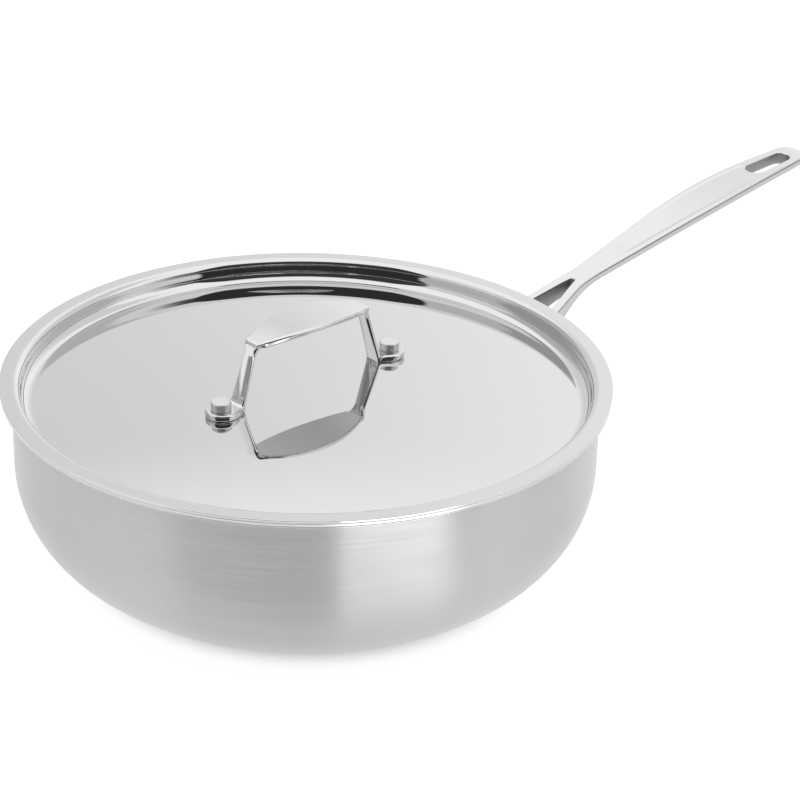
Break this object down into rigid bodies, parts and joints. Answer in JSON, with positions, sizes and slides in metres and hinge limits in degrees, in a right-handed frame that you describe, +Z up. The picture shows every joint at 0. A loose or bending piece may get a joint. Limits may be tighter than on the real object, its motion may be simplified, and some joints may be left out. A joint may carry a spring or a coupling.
{
  "type": "saute pan with lid",
  "caption": "Deep round saute pan of clad steel with a long forked handle and a recessed lift-off lid that has a riveted strap grip.",
  "frame": {"origin": "centre of the base's underside, on the pan's axis", "axes": "+Z up along the pan's axis, +X out along the long handle, +Y to the left of the handle as seen from the pan"},
  "size_m": [0.5093, 0.296, 0.1258],
  "materials": {
    "brushed_skin": "stainless steel sheet, brushed round the body",
    "core": "rolled aluminium, seen only at the lip's cut edge",
    "lining": "stainless steel sheet, satin, polished at the lip",
    "cast_handle": "cast stainless steel, polished",
    "rivets": "stainless steel, satin",
    "polished_lid": "stainless steel sheet, mirror polished"
  },
  "bodies": {
    "pan": {"outer_skin": "brushed_skin", "aluminium_core": "core", "inner_lining": "lining", "pan_handle": "cast_handle", "pan_rivet_left": "rivets", "pan_rivet_right": "rivets"},
    "lid": {"lid": "polished_lid", "lid_handle": "cast_handle", "lid_rivet_left": "rivets", "lid_rivet_right": "rivets"}
  },
  "joints": [
    {"name": "lid_lift", "type": "slide", "parent": "pan", "child": "lid", "axis": [0, 0, 1], "range_m": [0, 0.15]}
  ]
}
